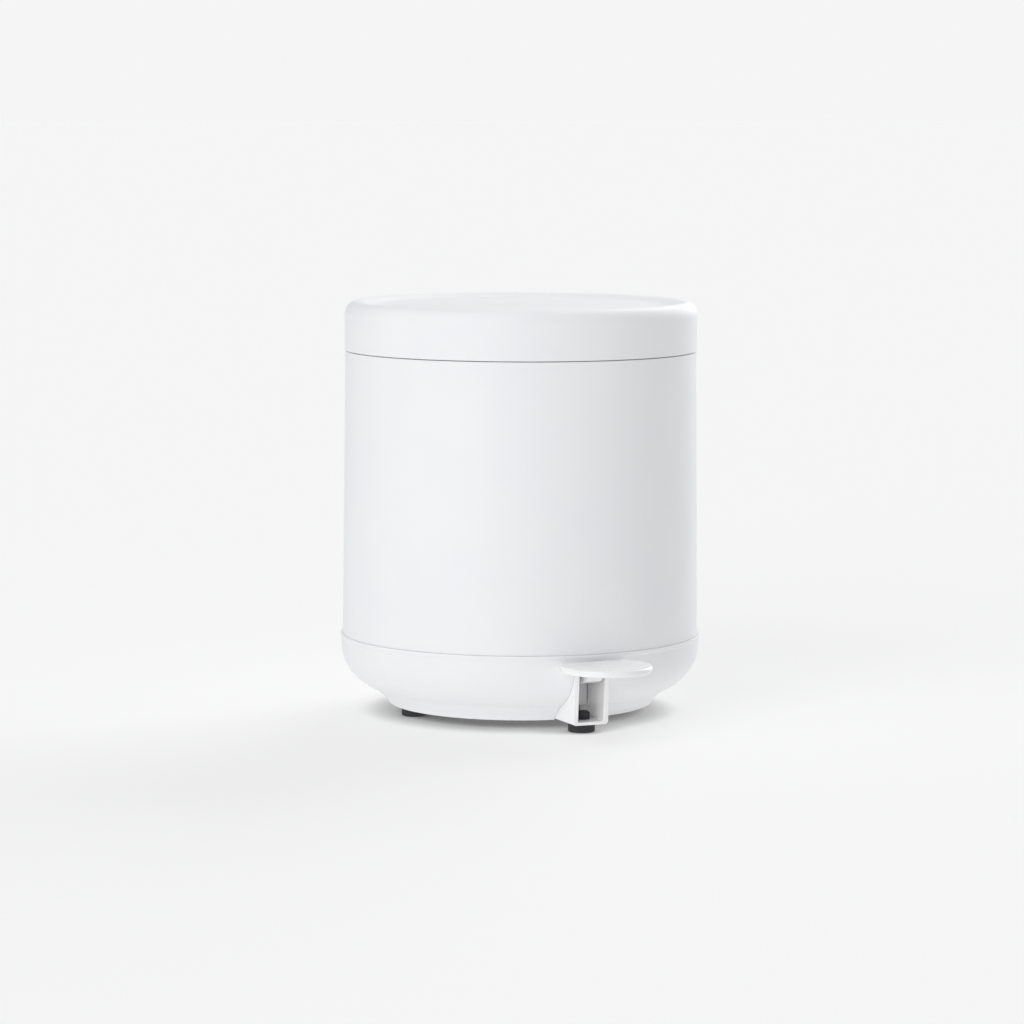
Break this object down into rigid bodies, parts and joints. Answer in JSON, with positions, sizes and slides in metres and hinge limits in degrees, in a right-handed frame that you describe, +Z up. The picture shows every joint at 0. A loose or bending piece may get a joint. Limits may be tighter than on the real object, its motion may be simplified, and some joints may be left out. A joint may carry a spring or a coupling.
{
  "type": "pedal trash can",
  "caption": "Round white pedal bin with a soft-touch shell, a flush dished lid on a hidden rear hinge, a round foot pedal in a front channel, and a lift-out bucket.",
  "frame": {"origin": "on the floor, at the middle of the bin's footprint: midway along Y between the pedal's tip and the back of the base", "axes": "+Z up, the pedal points to -Y and the lid hinge is at +Y, +X to the right of someone facing the pedal"},
  "size_m": [0.2016, 0.2436, 0.2298],
  "materials": {
    "soft_touch_white": "moulded ABS with a satin soft-touch coating",
    "moulded_white": "plain moulded ABS",
    "gloss_white": "glossy moulded ABS",
    "natural_acetal": "unpigmented acetal, slightly waxy",
    "black_rubber": "moulded black rubber",
    "black_plastic": "black moulded plastic",
    "zinc_steel": "bright zinc-plated steel",
    "bucket_grey": "pale grey moulded polypropylene"
  },
  "bodies": {
    "housing": {"body_shell": "soft_touch_white", "rim_collar": "moulded_white", "lid_bumpers": "black_rubber", "hinge_bracket": "moulded_white", "hinge_pin": "zinc_steel", "hinge_screws": "zinc_steel", "base_bowl": "soft_touch_white", "base_plate": "moulded_white", "base_screws": "zinc_steel", "rubber_feet": "black_rubber", "pedal_channel": "gloss_white", "front_foot": "black_rubber", "pivot_caps": "natural_acetal", "pivot_screws": "zinc_steel", "rod_guides": "natural_acetal", "damper_clip": "natural_acetal", "damper_cylinder": "black_plastic"},
    "lid": {"lid_shell": "soft_touch_white", "lid_liner": "moulded_white", "lid_hinge_arm": "moulded_white", "horn_pin": "zinc_steel", "lid_screws": "zinc_steel"},
    "pedal": {"pedal_plate": "gloss_white", "pedal_lever": "natural_acetal", "pedal_pin": "zinc_steel", "pedal_screws": "zinc_steel"},
    "lift_rod": {"push_rod": "natural_acetal", "damper_plunger": "zinc_steel"},
    "bucket": {"inner_bucket": "bucket_grey"},
    "bail": {"bail_handle": "zinc_steel", "bail_grip": "gloss_white"}
  },
  "joints": [
    {"name": "lid_hinge", "type": "hinge", "parent": "housing", "child": "lid", "pos_m": [0, 0.11505, 0.211], "axis": [-1, 0, 0], "range_deg": [0, 80]},
    {"name": "pedal_pivot", "type": "hinge", "parent": "housing", "child": "pedal", "pos_m": [0, 0.00605, 0.02], "axis": [1, 0, 0], "range_deg": [0, 11]},
    {"name": "rod_slide", "type": "slide", "parent": "housing", "child": "lift_rod", "axis": [0, 0, 1], "range_m": [0, 0.01838]},
    {"name": "bucket_lift", "type": "slide", "parent": "housing", "child": "bucket", "axis": [0, 0, 1], "range_m": [0, 0.006]},
    {"name": "bail_swing", "type": "hinge", "parent": "bucket", "child": "bail", "pos_m": [0, 0.01205, 0.197], "axis": [-1, 0, 0], "range_deg": [0, 7]}
  ],
  "couplings": [
    {"joint": "pedal_pivot", "follows": "lid_hinge", "ratio": 0.1375},
    {"joint": "rod_slide", "follows": "lid_hinge", "m_per_rad": 0.013166}
  ]
}
